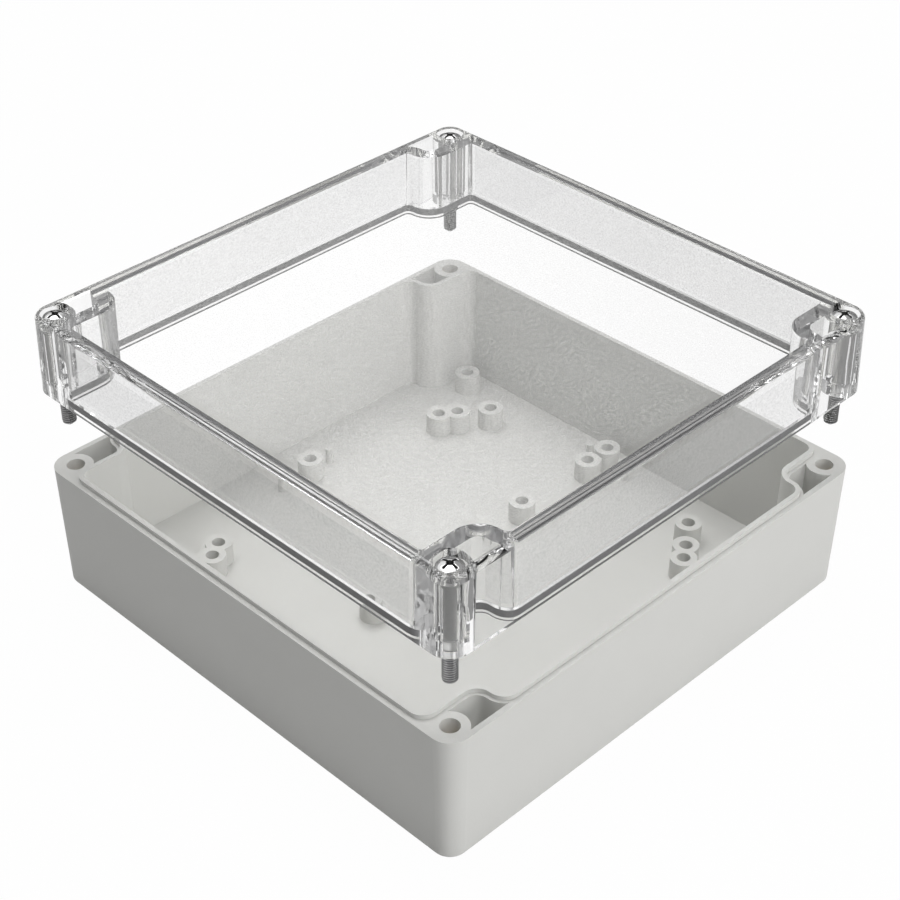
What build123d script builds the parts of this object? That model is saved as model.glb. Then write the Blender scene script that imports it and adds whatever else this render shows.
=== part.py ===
"""Square sealed enclosure: moulded base, clear lid, gasket, captive lid screws and inserts.

The origin is at the centre of the base's underside, with Z up. The lid stands lifted off the
base, as far as it is held when the box is being opened.
"""
from build123d import *
import os

# Plan that both mouldings share
side = 160.0
corner_radius = 6.0
screw_inset = 6.0
wall = 3.0
ledge = 1.6
boss_radius = 5.0

# Sealing contour, where it steps inward round each screw boss and pocket
step_along_x = 15.3
step_along_y = 6.2
step_radius_limit = 5.6
side_wall_radius = 3.0
end_wall_radius = 3.3
straight_share = 0.97
pocket_rim = 0.9

# Base
base_height = 40.0
base_floor = 3.0
outer_draft = 1.3
inner_draft = 1.0
foot_radius = 1.0
tongue_height = 1.3
boss_hole_diameter = 5.2
boss_hole_depth = 16.0
pocket_floor = 4.0
wall_hole_diameter = 4.5

# Pillars that carry a board, and the pins beside them
pillar_diameter = 7.9
pillar_hole_diameter = 3.9
pillar_height = 6.5
pillar_draft = 0.8
pin_diameter = 2.3
pin_height = 5.0
rib_width = 2.6
rib_height = 5.0

# Lid
lid_lift = 26.3
lid_height = 24.0
lid_top = 3.0
lid_draft = 1.5
lid_edge_radius = 2.0
lid_lip = 1.4
groove_depth = 2.8
groove_clearance = 0.2
counterbore_diameter = 8.5
lid_bore_diameter = 4.5
captive_bore_diameter = 3.7
captive_bore_length = 3.0

# Gasket in the lid's groove
gasket_clearance = 0.05
gasket_relief = 0.1

# Lid screw
head_diameter = 6.9
head_height = 3.0
head_chamfer = 0.4
head_sink = 0.7
head_seat_gap = 0.02
shank_diameter = 3.3
thread_diameter = 4.0
thread_start = 1.5
screw_reach = 12.0
tip_chamfer = 0.7
recess_span = 4.3
recess_width = 1.0
recess_depth = 1.6

# Threaded insert in each boss
insert_sink = 5.0
insert_length = 8.0
insert_clearance = 0.05

half = side / 2
screw_axis = half - screw_inset
cavity_half = half - wall
step_x = screw_axis - step_along_x
step_y = screw_axis - step_along_y
step_depth = cavity_half - step_y
step_radius = min(step_radius_limit, step_depth * straight_share - end_wall_radius)
tongue_width = wall - ledge
pillar_top = base_floor + pillar_height
lid_bottom = base_height + lid_lift
lid_top_face = lid_bottom + lid_height
head_seat = lid_top_face - head_sink - head_height
boss_spacing = 2 * screw_axis

# Board pillars in the quarter where X and Y are positive, mirrored into the others
corner_pillars = [(45.0, 50.0), (50.0, 46.7), (58.7, 40.5), (68.0, 60.0)]
side_pillars = [30.3, 59.6, 68.6]
end_pillar = 60.5
side_pin = (68.0, 6.5)
end_pin = (9.0, 62.0)

# Two places nearer than this are the same vertex
NEAR = 0.01

CORNERS = {"front": (-1, -1), "right": (1, -1), "back": (1, 1), "left": (-1, 1)}


def mirrored(points):
    """Each point of one quarter of the plan, mirrored into all four."""
    return [(sx * x, sy * y) for x, y in points for sx, sy in CORNERS.values()]


def seal_outline(grow=0.0):
    """The space inside the sealing contour, with its edge moved outward by grow."""
    reach = cavity_half + grow
    with BuildSketch() as region:
        Rectangle(2 * reach, 2 * reach)
        with GridLocations(2 * reach, 2 * reach, 2, 2):
            Rectangle(
                2 * (cavity_half - step_x),
                2 * (cavity_half - step_y),
                mode=Mode.SUBTRACT,
            )
        at_side_wall = region.vertices().filter_by(lambda v: abs(v.X) > reach - NEAR)
        fillet(at_side_wall, side_wall_radius + grow)
        at_end_wall = region.vertices().filter_by(
            lambda v: abs(v.Y) > reach - NEAR and abs(abs(v.X) - step_x - grow) < NEAR
        )
        fillet(at_end_wall, end_wall_radius + grow)
        at_step = region.vertices().filter_by(
            lambda v: abs(abs(v.X) - step_x - grow) < NEAR and abs(abs(v.Y) - step_y - grow) < NEAR
        )
        fillet(at_step, step_radius - grow)
    return region.sketch


def pocket_outline():
    """The four pockets beside the screw bosses, outside the sealing contour."""
    with BuildSketch() as region:
        Rectangle(boss_spacing, side - 2 * ledge)
        add(seal_outline(tongue_width + pocket_rim), mode=Mode.SUBTRACT)
        with GridLocations(boss_spacing, boss_spacing, 2, 2):
            Circle(boss_radius, mode=Mode.SUBTRACT)
    return region.sketch


# Base
pocket_start = step_x + tongue_width + pocket_rim
wall_hole_x = (pocket_start + screw_axis - boss_radius) / 2

with BuildPart() as base:
    with BuildSketch(Plane.XY.offset(base_height)):
        RectangleRounded(side, side, corner_radius)
    extrude(amount=-base_height, taper=outer_draft)
    fillet(base.faces().sort_by(Axis.Z)[0].edges(), foot_radius)

    # Cavity, drafted towards its floor
    with BuildSketch(Plane.XY.offset(base_height)):
        add(seal_outline())
    extrude(amount=base_floor - base_height, taper=inner_draft, mode=Mode.SUBTRACT)

    # Tongue that stands up from the ledge, all round the cavity
    with BuildSketch(Plane.XY.offset(base_height)):
        add(seal_outline(tongue_width))
        add(seal_outline(), mode=Mode.SUBTRACT)
    extrude(amount=tongue_height)

    # Pockets with the wall-mounting holes in their floors
    with BuildSketch(Plane.XY.offset(base_height)):
        add(pocket_outline())
    extrude(amount=pocket_floor - base_height, taper=inner_draft, mode=Mode.SUBTRACT)
    with BuildSketch():
        with GridLocations(2 * wall_hole_x, boss_spacing, 2, 2):
            Circle(wall_hole_diameter / 2)
    extrude(amount=base_height, mode=Mode.SUBTRACT)

    # Blind holes of the screw bosses
    with BuildSketch(Plane.XY.offset(base_height)):
        with GridLocations(boss_spacing, boss_spacing, 2, 2):
            Circle(boss_hole_diameter / 2)
    extrude(amount=-boss_hole_depth, mode=Mode.SUBTRACT)

    # Board pillars, with a low rib between the last two of each side row
    pillar_places = mirrored(corner_pillars)
    pillar_places += [(s * x, 0) for x in side_pillars for s in (1, -1)]
    pillar_places += [(0, s * end_pillar) for s in (1, -1)]
    with BuildSketch(Plane.XY.offset(pillar_top)):
        with Locations(*pillar_places):
            Circle(pillar_diameter / 2)
    extrude(amount=-pillar_height, taper=-pillar_draft)
    rib_from = side_pillars[1]
    rib_to = side_pillars[2]
    with BuildSketch(Plane.XY.offset(base_floor)):
        with GridLocations(rib_from + rib_to, 0, 2, 1):
            Rectangle(rib_to - rib_from, rib_width)
    extrude(amount=rib_height)
    with BuildSketch(Plane.XY.offset(base_floor)):
        with Locations(*mirrored([side_pin, end_pin])):
            Circle(pin_diameter / 2)
    extrude(amount=pin_height)
    with BuildSketch(Plane.XY.offset(pillar_top)):
        with Locations(*pillar_places):
            Circle(pillar_hole_diameter / 2)
    extrude(amount=-pillar_height, mode=Mode.SUBTRACT)
base.part.label = "base"

# Lid
with BuildPart() as lid:
    with BuildSketch(Plane.XY.offset(lid_bottom)):
        RectangleRounded(side, side, corner_radius)
    extrude(amount=lid_height, taper=lid_draft)
    fillet(lid.faces().sort_by(Axis.Z)[-1].edges(), lid_edge_radius)

    # Hollow, whose lip stands just inside the base's tongue
    with BuildSketch(Plane.XY.offset(lid_bottom)):
        add(seal_outline(-groove_clearance - lid_lip))
    extrude(amount=lid_height - lid_top, taper=inner_draft, mode=Mode.SUBTRACT)

    # Groove for the gasket and the tongue
    with BuildSketch(Plane.XY.offset(lid_bottom)):
        add(seal_outline(tongue_width + groove_clearance))
        add(seal_outline(-groove_clearance), mode=Mode.SUBTRACT)
    extrude(amount=groove_depth, mode=Mode.SUBTRACT)

    # Pockets, closed above by the top plate
    with BuildSketch(Plane.XY.offset(lid_bottom)):
        add(pocket_outline())
    extrude(amount=lid_height - lid_top, taper=inner_draft, mode=Mode.SUBTRACT)

    # Stepped screw bores: head, clearance and the narrow end that keeps the screw captive
    with BuildSketch(Plane.XY.offset(head_seat - head_seat_gap)):
        with GridLocations(boss_spacing, boss_spacing, 2, 2):
            Circle(counterbore_diameter / 2)
    extrude(amount=lid_height, mode=Mode.SUBTRACT)
    with BuildSketch(Plane.XY.offset(lid_bottom + captive_bore_length)):
        with GridLocations(boss_spacing, boss_spacing, 2, 2):
            Circle(lid_bore_diameter / 2)
    extrude(amount=lid_height, mode=Mode.SUBTRACT)
    with BuildSketch(Plane.XY.offset(lid_bottom)):
        with GridLocations(boss_spacing, boss_spacing, 2, 2):
            Circle(captive_bore_diameter / 2)
    extrude(amount=captive_bore_length, mode=Mode.SUBTRACT)
lid.part.label = "lid"

# Gasket, pressed against the groove's end
gasket_low = lid_bottom + tongue_height + gasket_relief
gasket_high = lid_bottom + groove_depth - gasket_clearance
with BuildPart() as gasket:
    with BuildSketch(Plane.XY.offset(gasket_low)):
        add(seal_outline(tongue_width + groove_clearance - gasket_clearance))
        add(seal_outline(gasket_clearance - groove_clearance), mode=Mode.SUBTRACT)
    extrude(amount=gasket_high - gasket_low)
gasket.part.label = "gasket"


def upright(x, y, z):
    """A plane whose X runs outward from a vertical axis through (x, y) and whose Y is up."""
    return Plane(origin=(x, y, z), x_dir=(1, 0, 0), z_dir=(0, -1, 0))


def lid_screw(x, y):
    """A captive screw: head with a cross recess, thin shank and a threaded end."""
    thread_end = lid_bottom - head_seat - screw_reach
    thread_from = lid_bottom - head_seat - thread_start
    with BuildPart() as screw:
        with BuildSketch(upright(x, y, head_seat)):
            with BuildLine():
                Polyline(
                    (0, head_height),
                    (0, thread_end),
                    (thread_diameter / 2 - tip_chamfer, thread_end),
                    (thread_diameter / 2, thread_end + tip_chamfer),
                    (thread_diameter / 2, thread_from),
                    (shank_diameter / 2, thread_from),
                    (shank_diameter / 2, 0),
                    (head_diameter / 2, 0),
                    (head_diameter / 2, head_height - head_chamfer),
                    (head_diameter / 2 - head_chamfer, head_height),
                    close=True,
                )
            make_face()
        revolve(axis=Axis((x, y, 0), (0, 0, 1)))
        with BuildSketch(Plane.XY.offset(head_seat + head_height)):
            with Locations((x, y)):
                Rectangle(recess_span, recess_width)
                Rectangle(recess_width, recess_span)
        extrude(amount=-recess_depth, mode=Mode.SUBTRACT)
    return screw.part


def threaded_insert(x, y):
    """A ring pressed into a boss, well below its mouth."""
    with BuildPart() as insert:
        with BuildSketch(Plane.XY.offset(base_height - insert_sink)):
            with Locations((x, y)):
                Circle(boss_hole_diameter / 2)
                Circle(thread_diameter / 2 + insert_clearance, mode=Mode.SUBTRACT)
        extrude(amount=-insert_length)
    return insert.part


parts = [base.part, lid.part, gasket.part]
for corner, (sign_x, sign_y) in CORNERS.items():
    screw_part = lid_screw(sign_x * screw_axis, sign_y * screw_axis)
    screw_part.label = f"screw_{corner}"
    insert_part = threaded_insert(sign_x * screw_axis, sign_y * screw_axis)
    insert_part.label = f"insert_{corner}"
    parts += [screw_part, insert_part]

os.makedirs("parts", exist_ok=True)
for part in parts:
    export_step(part, f"parts/{part.label}.step")
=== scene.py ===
"""Looks of the square sealed enclosure: grey base, clear lid, dark gasket, steel screws."""
import math

import bmesh
import bpy
from mathutils import Matrix, Vector


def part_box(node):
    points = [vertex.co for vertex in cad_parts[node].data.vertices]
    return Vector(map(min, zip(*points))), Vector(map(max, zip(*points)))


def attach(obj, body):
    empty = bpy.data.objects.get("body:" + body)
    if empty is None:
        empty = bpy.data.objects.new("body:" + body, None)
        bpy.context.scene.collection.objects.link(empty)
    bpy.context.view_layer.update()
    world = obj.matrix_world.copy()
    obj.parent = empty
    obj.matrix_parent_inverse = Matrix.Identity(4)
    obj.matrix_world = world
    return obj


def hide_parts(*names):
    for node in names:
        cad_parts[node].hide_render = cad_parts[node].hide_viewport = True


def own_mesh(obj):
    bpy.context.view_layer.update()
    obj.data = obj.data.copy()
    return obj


MM = 0.001
CORNERS = ("front", "right", "back", "left")
SHARP_ANGLE = math.radians(35)

# Camera fitted to the photograph, whose frame is square
FRAME_PX = 900
FOCAL_PX = 1951.0
PITCH = math.radians(35.71)
HEADING = math.radians(45.0)
AIM_HEIGHT = 40.0 * MM
AIM_DISTANCE = 545.7 * MM
AIM_DROP = 4.02 * MM
SENSOR_MM = 36.0

# Lid screw, in millimetres; heights are measured from the head's seat or from the screw's tip
HEAD_HEIGHT = 3.0
HEAD_RADIUS = 3.45
DOME_RISE = 1.0
NECK_RADIUS = 2.0
NECK_LENGTH = 2.5
RING_RADIUS = 2.2
RING_HEIGHT = 0.5
SHANK_RADIUS = 1.65
THREAD_LENGTH = 10.5
THREAD_PITCH = 0.7
THREAD_ROOT = 1.62
THREAD_CREST = 2.0
THREAD_SUNK = 0.08
THREAD_PAINT_OVER = 0.2
TIP_TAPER = 0.7
RECESS_SPAN = 5.2
RECESS_WIDTH = 0.7
RECESS_SQUARE = 1.5
RECESS_DEPTH = 1.9
RECESS_OVERSHOOT = 0.5
RECESS_PAINT_DEPTH = 0.08
HEAD_EDGE_HEIGHT = 0.15
NECK_CHAMFER = 0.3
RING_DEPTHS = (0.35, 1.35)
TURN_STEPS = 48

# Shares: of the head's radius along its dome, of the recess's size at its foot and mouth, of the
# thread's pitch across its ridge, and of a turn or of full height where the ridge fades out
DOME_SHARES = (0.97, 0.88, 0.76, 0.62, 0.46, 0.30, 0.15, 0.0)
RECESS_REACH_SHARE = 0.95
RECESS_FOOT_SHARE = 0.55
RECESS_MOUTH_SHARE = 1.1
THREAD_HALF_FOOT = 0.42
THREAD_HALF_CREST = 0.08
THREAD_FADE_TURNS = 0.6
THREAD_LEAST_GROWN = 0.02
THREAD_START_SHARE = 0.7

# Gasket before the lid presses on it, in millimetres
GASKET_FREE_HEIGHT = 2.3
GASKET_ROUNDING = 0.35

# Clear plastic: how much its top plate's grain scatters, how much its walls scatter and darken,
# and where that lies, in millimetres from the middle, from the lid's lower edge and from its top
PLATE_MILK = 0.08
WALL_MILK = 0.08
WALL_SHADE = 0.08
WALL_FROST = 0.15
FROST_CELL_MM = 0.55
FROST_HALF_X = 58.0
FROST_HALF_Y = 66.5
FROST_PLATE_REACH = 73.5
FROST_WALL_FOOT = 3.2
FROST_WALL_EDGE = 3.8
FROST_NOISE_RANGE = (0.42, 0.7)
PLATE_LEAST_FACING_UP = 0.9
WALL_MOST_FACING_UP = 0.3
SHADOW_RAY_TINT = (0.93, 0.93, 0.93, 1)

# Light: lamps in watts, their places and sizes in metres
KEY_WATTS = 5.6
FILL_WATTS = 6.3
FRONT_LAMP_PLACE = (0.15, -1.3, 0.45)
FRONT_LAMP_SIZE = 0.8
TOP_WATTS = 9.8
TOP_LAMP_PLACE = (0.2, 0.4, 1.4)
TOP_LAMP_SIZE = 1.0
AMBIENT = 0.33
FLOOR_COLOUR = (0.72, 0.72, 0.72, 1)
FLOOR_GLOW = 0.98
LIGHT_BOUNCES = 32

# What shiny pieces mirror: the floor, straight off a surface or from inside clear plastic, and the
# sky at its rim, higher up and on its darker side
MIRRORED_FLOOR = 0.85
MIRRORED_FLOOR_INSIDE = 0.22
MIRRORED_RIM = 0.28
MIRRORED_SKY = 1.0
MIRRORED_DARK_SIDE = 0.4
SKY_RIM_HEIGHT = 0.1
SKY_TOP_HEIGHT = 0.5
SKY_SIDE_RANGE = (-0.35, 0.05)

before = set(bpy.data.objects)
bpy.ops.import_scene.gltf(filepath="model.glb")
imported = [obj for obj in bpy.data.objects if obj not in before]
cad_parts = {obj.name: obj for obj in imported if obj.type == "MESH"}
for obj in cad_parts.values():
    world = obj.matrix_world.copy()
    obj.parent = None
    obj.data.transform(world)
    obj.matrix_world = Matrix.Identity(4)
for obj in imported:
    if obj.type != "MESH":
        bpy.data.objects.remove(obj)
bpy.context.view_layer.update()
scene = bpy.context.scene


def make_camera():
    """The camera looks at the middle of the base's rim from above its front corner."""
    level = Vector((math.cos(HEADING), math.sin(HEADING), 0))
    up = Vector((0, 0, 1))
    forward = level * math.cos(PITCH) - up * math.sin(PITCH)
    upward = level * math.sin(PITCH) + up * math.cos(PITCH)
    right = forward.cross(upward)
    place = Vector((0, 0, AIM_HEIGHT)) - forward * AIM_DISTANCE + upward * AIM_DROP
    data = bpy.data.cameras.new("camera")
    data.sensor_width = SENSOR_MM
    data.lens = FOCAL_PX / FRAME_PX * SENSOR_MM
    data.clip_start = 0.01
    data.clip_end = 20
    camera = bpy.data.objects.new("camera", data)
    turn = Matrix((right, upward, -forward)).transposed().to_4x4()
    camera.matrix_world = Matrix.Translation(place) @ turn
    scene.collection.objects.link(camera)
    scene.camera = camera


# Materials
def new_material(name):
    material = bpy.data.materials.new(name)
    material.use_nodes = True
    tree = material.node_tree
    return material, tree, tree.nodes["Principled BSDF"], tree.nodes["Material Output"]


def math_node(tree, operation, first, second):
    """A Math node; each input is a socket or a number."""
    node = tree.nodes.new("ShaderNodeMath")
    node.operation = operation
    for socket, value in zip(node.inputs, (first, second)):
        if isinstance(value, (int, float)):
            socket.default_value = value
        else:
            tree.links.new(value, socket)
    return node.outputs[0]


def shiny_ray(tree):
    """1 on rays from the camera that have met nothing but clear and shiny pieces."""
    path = tree.nodes.new("ShaderNodeLightPath")
    shiny = math_node(
        tree, "MAXIMUM", path.outputs["Is Glossy Ray"], path.outputs["Is Transmission Ray"]
    )
    return math_node(tree, "GREATER_THAN", shiny, path.outputs["Diffuse Depth"])


def straight_ray(tree):
    """1 on rays from the camera, also after they went through clear pieces with no reflection."""
    path = tree.nodes.new("ShaderNodeLightPath")
    shiny = shiny_ray(tree)
    through = math_node(tree, "GREATER_THAN", shiny, path.outputs["Glossy Depth"])
    return math_node(tree, "MAXIMUM", path.outputs["Is Camera Ray"], through)


def mix_shaders(tree, share, first, second):
    mix = tree.nodes.new("ShaderNodeMixShader")
    tree.links.new(share, mix.inputs["Fac"])
    tree.links.new(first, mix.inputs[1])
    tree.links.new(second, mix.inputs[2])
    return mix.outputs[0]


def noise(tree, cell_mm, detail=2.0):
    """Solid noise in the object's own space, whose cells are cell_mm wide."""
    where = tree.nodes.new("ShaderNodeTexCoord")
    node = tree.nodes.new("ShaderNodeTexNoise")
    node.inputs["Scale"].default_value = 1 / (cell_mm * MM)
    node.inputs["Detail"].default_value = detail
    tree.links.new(where.outputs["Object"], node.inputs["Vector"])
    return node.outputs["Fac"]


def bump(tree, shader, height, depth_mm):
    node = tree.nodes.new("ShaderNodeBump")
    node.inputs["Strength"].default_value = 1.0
    node.inputs["Distance"].default_value = depth_mm * MM
    tree.links.new(height, node.inputs["Height"])
    tree.links.new(node.outputs["Normal"], shader.inputs["Normal"])


def tint(tree, shader, height, dark, light):
    """Base colour that goes from dark to light as height goes from 0 to 1."""
    ramp = tree.nodes.new("ShaderNodeValToRGB")
    ramp.color_ramp.elements[0].color = (*dark, 1)
    ramp.color_ramp.elements[1].color = (*light, 1)
    tree.links.new(height, ramp.inputs["Fac"])
    tree.links.new(ramp.outputs["Color"], shader.inputs["Base Color"])


def abs_plastic():
    """Light grey moulded plastic with a fine even grain."""
    material, tree, shader, _ = new_material("abs_grey")
    shader.inputs["Roughness"].default_value = 0.55
    shader.inputs["IOR"].default_value = 1.5
    shader.inputs["Specular IOR Level"].default_value = 0.25
    tint(tree, shader, noise(tree, 20.0, 3.0), (0.600, 0.600, 0.580), (0.630, 0.630, 0.610))
    bump(tree, shader, noise(tree, 0.45), 0.02)
    return material


def map_range(tree, value, from_range, to_range):
    node = tree.nodes.new("ShaderNodeMapRange")
    node.inputs["From Min"].default_value = from_range[0]
    node.inputs["From Max"].default_value = from_range[1]
    node.inputs["To Min"].default_value = to_range[0]
    node.inputs["To Max"].default_value = to_range[1]
    tree.links.new(value, node.inputs["Value"])
    return node.outputs[0]


def frosted_zones(tree):
    """1 on the middle of the lid's top plate, and 1 on the flat of its walls off the corners."""
    low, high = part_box("lid")
    where = tree.nodes.new("ShaderNodeTexCoord")
    place = tree.nodes.new("ShaderNodeSeparateXYZ")
    facing = tree.nodes.new("ShaderNodeSeparateXYZ")
    tree.links.new(where.outputs["Object"], place.inputs[0])
    tree.links.new(where.outputs["Normal"], facing.inputs[0])
    across = math_node(tree, "ABSOLUTE", place.outputs["X"], 0.0)
    along = math_node(tree, "ABSOLUTE", place.outputs["Y"], 0.0)
    level = math_node(tree, "ABSOLUTE", facing.outputs["Z"], 0.0)
    between_corners = math_node(
        tree,
        "MAXIMUM",
        math_node(tree, "LESS_THAN", across, FROST_HALF_X * MM),
        math_node(tree, "LESS_THAN", along, FROST_HALF_Y * MM),
    )
    furthest = math_node(tree, "MAXIMUM", across, along)
    inside = math_node(tree, "LESS_THAN", furthest, FROST_PLATE_REACH * MM)
    flat = math_node(tree, "GREATER_THAN", level, PLATE_LEAST_FACING_UP)
    plate = math_node(tree, "MULTIPLY", inside, flat)
    above_foot = math_node(tree, "GREATER_THAN", place.outputs["Z"], low.z + FROST_WALL_FOOT * MM)
    below_edge = math_node(tree, "LESS_THAN", place.outputs["Z"], high.z - FROST_WALL_EDGE * MM)
    wall = math_node(tree, "MULTIPLY", above_foot, below_edge)
    upright = math_node(tree, "LESS_THAN", level, WALL_MOST_FACING_UP)
    wall = math_node(tree, "MULTIPLY", wall, upright)
    return (
        math_node(tree, "MULTIPLY", plate, between_corners),
        math_node(tree, "MULTIPLY", wall, between_corners),
    )


def clear_plastic():
    """Clear moulded plastic that casts no dark shadow.

    It is finely frosted between its edges, except where it is seen in a reflection.
    """
    material, tree, shader, output = new_material("clear_plastic")
    shader.inputs["Roughness"].default_value = 0.0
    shader.inputs["IOR"].default_value = 1.5
    path = tree.nodes.new("ShaderNodeLightPath")
    unbounced = math_node(tree, "LESS_THAN", path.outputs["Glossy Depth"], 0.5)
    plate, wall = (math_node(tree, "MULTIPLY", zone, unbounced) for zone in frosted_zones(tree))
    grain = map_range(tree, noise(tree, FROST_CELL_MM, 0.0), FROST_NOISE_RANGE, (0.0, 1.0))
    on_plate = math_node(tree, "MULTIPLY", plate, PLATE_MILK)
    milk = math_node(tree, "MULTIPLY", grain, on_plate)
    milk = math_node(tree, "ADD", milk, math_node(tree, "MULTIPLY", wall, WALL_MILK))
    clear_share = math_node(tree, "SUBTRACT", 1.0, milk)
    tree.links.new(clear_share, shader.inputs["Transmission Weight"])
    on_wall = math_node(tree, "MULTIPLY", wall, WALL_FROST)
    speckle = math_node(tree, "MULTIPLY", grain, on_wall)
    shade = math_node(tree, "ADD", speckle, math_node(tree, "MULTIPLY", wall, WALL_SHADE))
    clearness = math_node(tree, "SUBTRACT", 1.0, shade)
    tree.links.new(clearness, shader.inputs["Base Color"])
    through = tree.nodes.new("ShaderNodeBsdfTransparent")
    through.inputs["Color"].default_value = SHADOW_RAY_TINT
    surface = mix_shaders(
        tree, path.outputs["Is Shadow Ray"], shader.outputs[0], through.outputs[0]
    )
    tree.links.new(surface, output.inputs["Surface"])
    return material


def gasket_rubber():
    material, tree, shader, _ = new_material("gasket_rubber")
    shader.inputs["Roughness"].default_value = 0.8
    tint(tree, shader, noise(tree, 1.5, 3.0), (0.050, 0.050, 0.052), (0.075, 0.075, 0.078))
    bump(tree, shader, noise(tree, 0.3, 4.0), 0.05)
    return material


def metal(name, dark, light, roughness):
    material, tree, shader, _ = new_material(name)
    shader.inputs["Metallic"].default_value = 1.0
    shader.inputs["Roughness"].default_value = roughness
    tint(tree, shader, noise(tree, 1.0, 3.0), dark, light)
    bump(tree, shader, noise(tree, 0.2, 3.0), 0.004)
    return material


def thread_metal_with_painted_shade(name, root, crest, roughness):
    """Metal with painted shade: dark at the thread's root and light at its crest."""
    material, tree, shader, _ = new_material(name)
    shader.inputs["Metallic"].default_value = 1.0
    shader.inputs["Roughness"].default_value = roughness
    where = tree.nodes.new("ShaderNodeTexCoord")
    flat = tree.nodes.new("ShaderNodeVectorMath")
    flat.operation = "MULTIPLY"
    flat.inputs[1].default_value = (1, 1, 0)
    tree.links.new(where.outputs["Object"], flat.inputs[0])
    reach = tree.nodes.new("ShaderNodeVectorMath")
    reach.operation = "LENGTH"
    tree.links.new(flat.outputs["Vector"], reach.inputs[0])
    # Painted shade: darker towards the thread's root, lighter towards its crest.
    depths = (THREAD_ROOT * MM, THREAD_CREST * MM)
    height = map_range(tree, reach.outputs["Value"], depths, (0.0, 1.0))
    tint(tree, shader, height, root, crest)
    return material


def use_material(obj, *materials):
    obj.data.materials.clear()
    for material in materials:
        obj.data.materials.append(material)


# Meshes
def new_object(name, bm):
    bmesh.ops.recalc_face_normals(bm, faces=bm.faces)
    for face in bm.faces:
        face.smooth = True
    mesh = bpy.data.meshes.new(name)
    bm.to_mesh(mesh)
    bm.free()
    mesh.set_sharp_from_angle(angle=SHARP_ANGLE)
    obj = bpy.data.objects.new(name, mesh)
    scene.collection.objects.link(obj)
    return obj


def lathe(bm, profile):
    """Turns (radius, height) points about Z; a radius of zero closes an end."""
    rings = []
    for radius, height in profile:
        if radius == 0:
            rings.append([bm.verts.new((0, 0, height * MM))])
            continue
        ring = []
        for i in range(TURN_STEPS):
            angle = 2 * math.pi * i / TURN_STEPS
            x = radius * MM * math.cos(angle)
            y = radius * MM * math.sin(angle)
            ring.append(bm.verts.new((x, y, height * MM)))
        rings.append(ring)
    for low, high in zip(rings, rings[1:]):
        for i in range(TURN_STEPS):
            j = (i + 1) % TURN_STEPS
            loop = [low[i % len(low)], low[j % len(low)], high[j % len(high)], high[i % len(high)]]
            bm.faces.new(list(dict.fromkeys(loop)))


def thread_ridge(bm, start, end):
    """The helical ridge of a right-hand thread, faded out at both ends."""
    turns = (end - start) / THREAD_PITCH
    count = int(turns * TURN_STEPS)
    fade_steps = TURN_STEPS * THREAD_FADE_TURNS
    sunk = THREAD_ROOT - THREAD_SUNK
    foot, top = THREAD_HALF_FOOT, THREAD_HALF_CREST
    sections = []
    for i in range(count + 1):
        angle = 2 * math.pi * i / TURN_STEPS
        middle = start + THREAD_PITCH * i / TURN_STEPS
        grown = min(1.0, i / fade_steps, (count - i) / fade_steps)
        crest = sunk + (THREAD_CREST - sunk) * max(grown, THREAD_LEAST_GROWN)
        section = []
        for radius, drop in ((sunk, -foot), (crest, -top), (crest, top), (sunk, foot)):
            x = radius * MM * math.cos(angle)
            y = radius * MM * math.sin(angle)
            section.append(bm.verts.new((x, y, (middle + drop * THREAD_PITCH) * MM)))
        sections.append(section)
    for here, there in zip(sections, sections[1:]):
        for k in range(4):
            m = (k + 1) % 4
            bm.faces.new((here[k], here[m], there[m], there[k]))
    bm.faces.new(sections[0])
    bm.faces.new(reversed(sections[-1]))


def cross_cutter(top):
    """A tapered cross with a square middle, for the driver recess."""
    bm = bmesh.new()
    for span, width in ((RECESS_SPAN, RECESS_WIDTH), (RECESS_WIDTH, RECESS_SPAN)):
        tapered_block(bm, span, width, top)
    tapered_block(bm, RECESS_SQUARE, RECESS_SQUARE, top)
    return new_object("recess_cutter", bm)


def tapered_block(bm, length, width, top):
    """A block that is narrower at the recess's foot and wider where it leaves the head."""
    corners = []
    foot = (top - RECESS_DEPTH, RECESS_FOOT_SHARE)
    mouth = (top + RECESS_OVERSHOOT, RECESS_MOUTH_SHARE)
    for height, share in (foot, mouth):
        for sx, sy in ((-1, -1), (1, -1), (1, 1), (-1, 1)):
            x = sx * length / 2 * share * MM
            y = sy * width / 2 * share * MM
            corners.append(bm.verts.new((x, y, height * MM)))
    low, high = corners[:4], corners[4:]
    bm.faces.new(low[::-1])
    bm.faces.new(high)
    for i in range(4):
        j = (i + 1) % 4
        bm.faces.new((low[i], low[j], high[j], high[i]))


def dome_drop(radius):
    """How far the head's dome lies under its middle at a radius, in millimetres."""
    ball = (HEAD_RADIUS ** 2 + DOME_RISE ** 2) / (2 * DOME_RISE)
    return ball - math.sqrt(ball ** 2 - radius ** 2)


def paint_screw(mesh, seat, length):
    """Slot 0 is the bright head, 1 its recess painted near black as painted shade, 2 the shank and
    3 the thread.
    """
    for face in mesh.polygons:
        radius = math.hypot(face.center.x, face.center.y) / MM
        height = face.center.z / MM
        if height < THREAD_LENGTH + THREAD_PAINT_OVER:
            face.material_index = 3
            continue
        if height < seat:
            face.material_index = 2
            continue
        # Faces inside the driver recess take slot 1, painted near black as painted shade.
        within = radius < HEAD_RADIUS * RECESS_REACH_SHARE
        if within and height < length - dome_drop(radius) - RECESS_PAINT_DEPTH:
            face.material_index = 1
        else:
            face.material_index = 0


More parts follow.
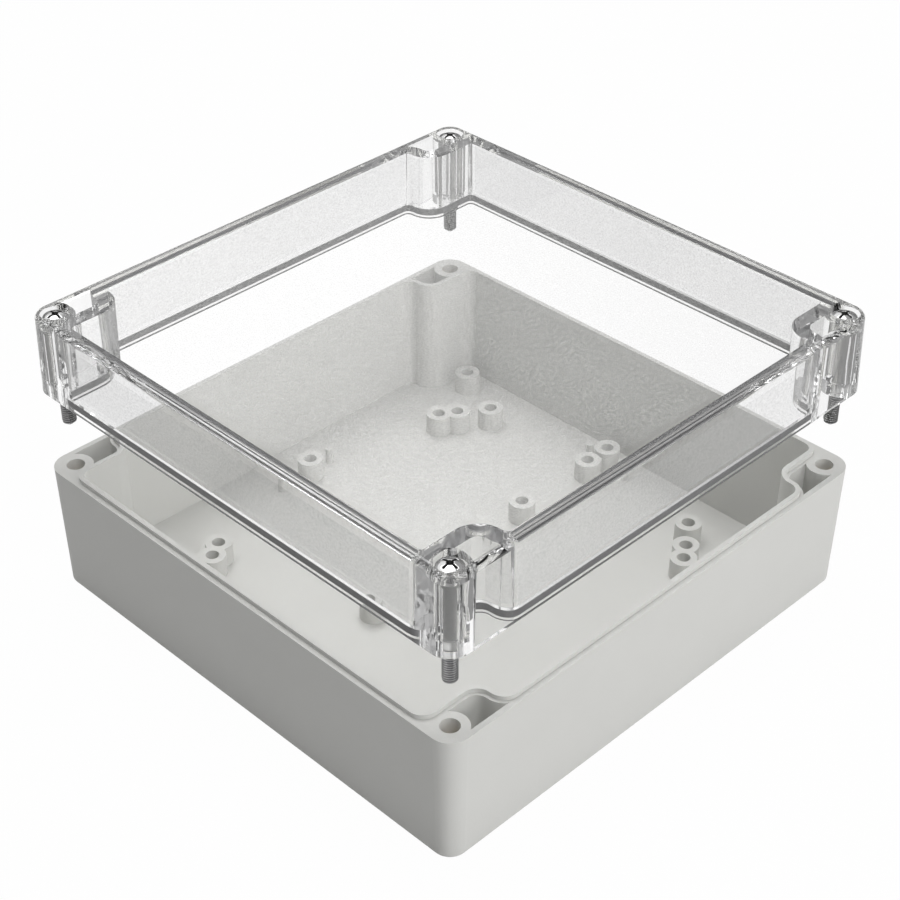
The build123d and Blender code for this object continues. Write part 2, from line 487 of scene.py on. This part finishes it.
def make_screw(corner, materials):
    """The full screw of one lid corner, in place of its plain solid."""
    node = f"screw_{corner}"
    low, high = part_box(node)
    length = (high.z - low.z) / MM
    seat = length - HEAD_HEIGHT
    neck = seat - NECK_LENGTH
    bm = bmesh.new()
    rings = []
    for depth in RING_DEPTHS:
        ring_low = seat - depth - RING_HEIGHT
        rings = [
            (NECK_RADIUS, ring_low),
            (RING_RADIUS, ring_low),
            (RING_RADIUS, ring_low + RING_HEIGHT),
            (NECK_RADIUS, ring_low + RING_HEIGHT),
        ] + rings
    dome = []
    for share in DOME_SHARES:
        radius = HEAD_RADIUS * share
        dome.append((radius, length - dome_drop(radius)))
    lathe(bm, [
        (0, 0),
        (THREAD_ROOT - TIP_TAPER, 0),
        (THREAD_ROOT, TIP_TAPER),
        (THREAD_ROOT, THREAD_LENGTH),
        (SHANK_RADIUS, THREAD_LENGTH + NECK_CHAMFER),
        (SHANK_RADIUS, neck),
        (NECK_RADIUS, neck + NECK_CHAMFER),
        *rings,
        (NECK_RADIUS, seat),
        (HEAD_RADIUS, seat),
        (HEAD_RADIUS, length - DOME_RISE - HEAD_EDGE_HEIGHT),
        *dome,
    ])
    thread_ridge(bm, TIP_TAPER * THREAD_START_SHARE, THREAD_LENGTH)
    screw = new_object(f"lid_screw_{corner}", bm)
    cutter = cross_cutter(length)
    cut = screw.modifiers.new("recess", "BOOLEAN")
    cut.operation = "DIFFERENCE"
    cut.object = cutter
    cut.solver = "EXACT"
    cut.use_self = True
    bpy.context.view_layer.update()
    dg = bpy.context.evaluated_depsgraph_get()
    mesh = bpy.data.meshes.new_from_object(screw.evaluated_get(dg))
    screw.modifiers.clear()
    screw.data = mesh
    bpy.data.objects.remove(cutter)
    screw.location = ((low.x + high.x) / 2, (low.y + high.y) / 2, low.z)
    use_material(screw, *materials)
    paint_screw(mesh, seat, length)
    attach(screw, node)
    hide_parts(node)


def make_gasket(material):
    """The soft sealing cord at its free height, which closing the lid presses flat."""
    low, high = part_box("gasket")
    free_height = GASKET_FREE_HEIGHT * MM
    bm = bmesh.new()
    bm.from_mesh(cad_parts["gasket"].data)
    bmesh.ops.remove_doubles(bm, verts=bm.verts, dist=0.001 * MM)
    for vert in bm.verts:
        if vert.co.z < (low.z + high.z) / 2:
            vert.co.z = high.z - free_height
    bmesh.ops.dissolve_limit(bm, angle_limit=0.001, verts=bm.verts, edges=bm.edges)
    foot_edges = []
    for edge in bm.edges:
        levels = sorted(abs(face.normal.z) for face in edge.link_faces)
        at_foot = max(v.co.z for v in edge.verts) < low.z
        if at_foot and len(levels) == 2 and levels[0] < 0.5 < levels[1]:
            foot_edges.append(edge)
    bmesh.ops.bevel(
        bm,
        geom=foot_edges,
        offset=GASKET_ROUNDING * MM,
        segments=3,
        profile=0.5,
        affect="EDGES",
    )
    gasket = new_object("sealing_cord", bm)
    use_material(gasket, material)
    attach(gasket, "lid")
    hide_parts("gasket")
    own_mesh(gasket)


# Stage and light
def area_light(name, place, size, watts, shadow=True):
    data = bpy.data.lights.new(name, "AREA")
    data.shape = "SQUARE"
    data.size = size
    data.energy = watts
    data.use_shadow = shadow
    lamp = bpy.data.objects.new(name, data)
    lamp.location = place
    aim = Vector((0, 0, AIM_HEIGHT)) - Vector(place)
    lamp.rotation_euler = aim.to_track_quat("-Z", "Y").to_euler()
    scene.collection.objects.link(lamp)


def make_world():
    world = bpy.data.worlds.new("studio")
    world.use_nodes = True
    scene.world = world
    tree = world.node_tree
    ambient = tree.nodes["Background"]
    ambient.inputs["Color"].default_value = (1, 1, 1, 1)
    ambient.inputs["Strength"].default_value = AMBIENT
    where = tree.nodes.new("ShaderNodeTexCoord")
    parts = tree.nodes.new("ShaderNodeSeparateXYZ")
    tree.links.new(where.outputs["Generated"], parts.inputs[0])
    heights = (SKY_RIM_HEIGHT, SKY_TOP_HEIGHT)
    rise = map_range(tree, parts.outputs["Z"], heights, (MIRRORED_RIM, MIRRORED_SKY))
    side = math_node(tree, "SUBTRACT", parts.outputs["Y"], parts.outputs["X"])
    side = map_range(tree, side, SKY_SIDE_RANGE, (MIRRORED_DARK_SIDE, 1.0))
    mirrored = tree.nodes.new("ShaderNodeBackground")
    tree.links.new(math_node(tree, "MULTIPLY", rise, side), mirrored.inputs["Strength"])
    white = tree.nodes.new("ShaderNodeBackground")
    for background in (mirrored, white):
        background.inputs["Color"].default_value = (1, 1, 1, 1)
    surface = mix_shaders(tree, shiny_ray(tree), ambient.outputs[0], mirrored.outputs[0])
    surface = mix_shaders(tree, straight_ray(tree), surface, white.outputs[0])
    tree.links.new(surface, tree.nodes["World Output"].inputs["Surface"])


def make_floor():
    """A white floor that shows the object's shadow faintly."""
    bm = bmesh.new()
    bmesh.ops.create_grid(bm, x_segments=1, y_segments=1, size=3)
    floor = new_object("floor", bm)
    material, tree, shader, output = new_material("floor_white")
    shader.inputs["Base Color"].default_value = FLOOR_COLOUR
    shader.inputs["Roughness"].default_value = 0.9
    mirrored = tree.nodes.new("ShaderNodeEmission")
    path = tree.nodes.new("ShaderNodeLightPath")
    levels = (MIRRORED_FLOOR, MIRRORED_FLOOR_INSIDE)
    mirrored_level = map_range(tree, path.outputs["Transmission Depth"], (0.0, 1.0), levels)
    tree.links.new(mirrored_level, mirrored.inputs["Strength"])
    white = tree.nodes.new("ShaderNodeEmission")
    surface = mix_shaders(tree, shiny_ray(tree), shader.outputs[0], mirrored.outputs[0])
    lit = mix_shaders(tree, straight_ray(tree), surface, shader.outputs[0])
    share = math_node(tree, "MULTIPLY", straight_ray(tree), FLOOR_GLOW)
    surface = mix_shaders(tree, share, lit, white.outputs[0])
    tree.links.new(surface, output.inputs["Surface"])
    use_material(floor, material)


make_camera()
make_world()
make_floor()
area_light("key", FRONT_LAMP_PLACE, FRONT_LAMP_SIZE, KEY_WATTS)
area_light("fill", FRONT_LAMP_PLACE, FRONT_LAMP_SIZE, FILL_WATTS, shadow=False)
area_light("top", TOP_LAMP_PLACE, TOP_LAMP_SIZE, TOP_WATTS)

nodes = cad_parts
use_material(nodes["base"], abs_plastic())
use_material(nodes["lid"], clear_plastic())
make_gasket(gasket_rubber())
screw_metals = (
    metal("bright_steel", (0.70, 0.70, 0.70), (0.78, 0.78, 0.78), 0.12),
    # Painted shade: near-black steel for the inside of the driver recess.
    metal("recess_painted_shade", (0.02, 0.02, 0.02), (0.04, 0.04, 0.04), 0.5),
    metal("shank_steel", (0.60, 0.60, 0.59), (0.68, 0.68, 0.67), 0.3),
    # Painted shade: the thread is painted darker towards its root.
    thread_metal_with_painted_shade("thread_steel_painted_root_shade", (0.03, 0.03, 0.03), (0.34, 0.34, 0.34), 0.3),
)
brass = metal("turned_brass", (0.66, 0.47, 0.20), (0.74, 0.54, 0.25), 0.3)
for corner in CORNERS:
    make_screw(corner, screw_metals)
    use_material(nodes[f"insert_{corner}"], brass)

for bounces in ("max_bounces", "glossy_bounces", "transmission_bounces", "transparent_max_bounces"):
    setattr(scene.cycles, bounces, LIGHT_BOUNCES)
scene.view_settings.view_transform = "Standard"
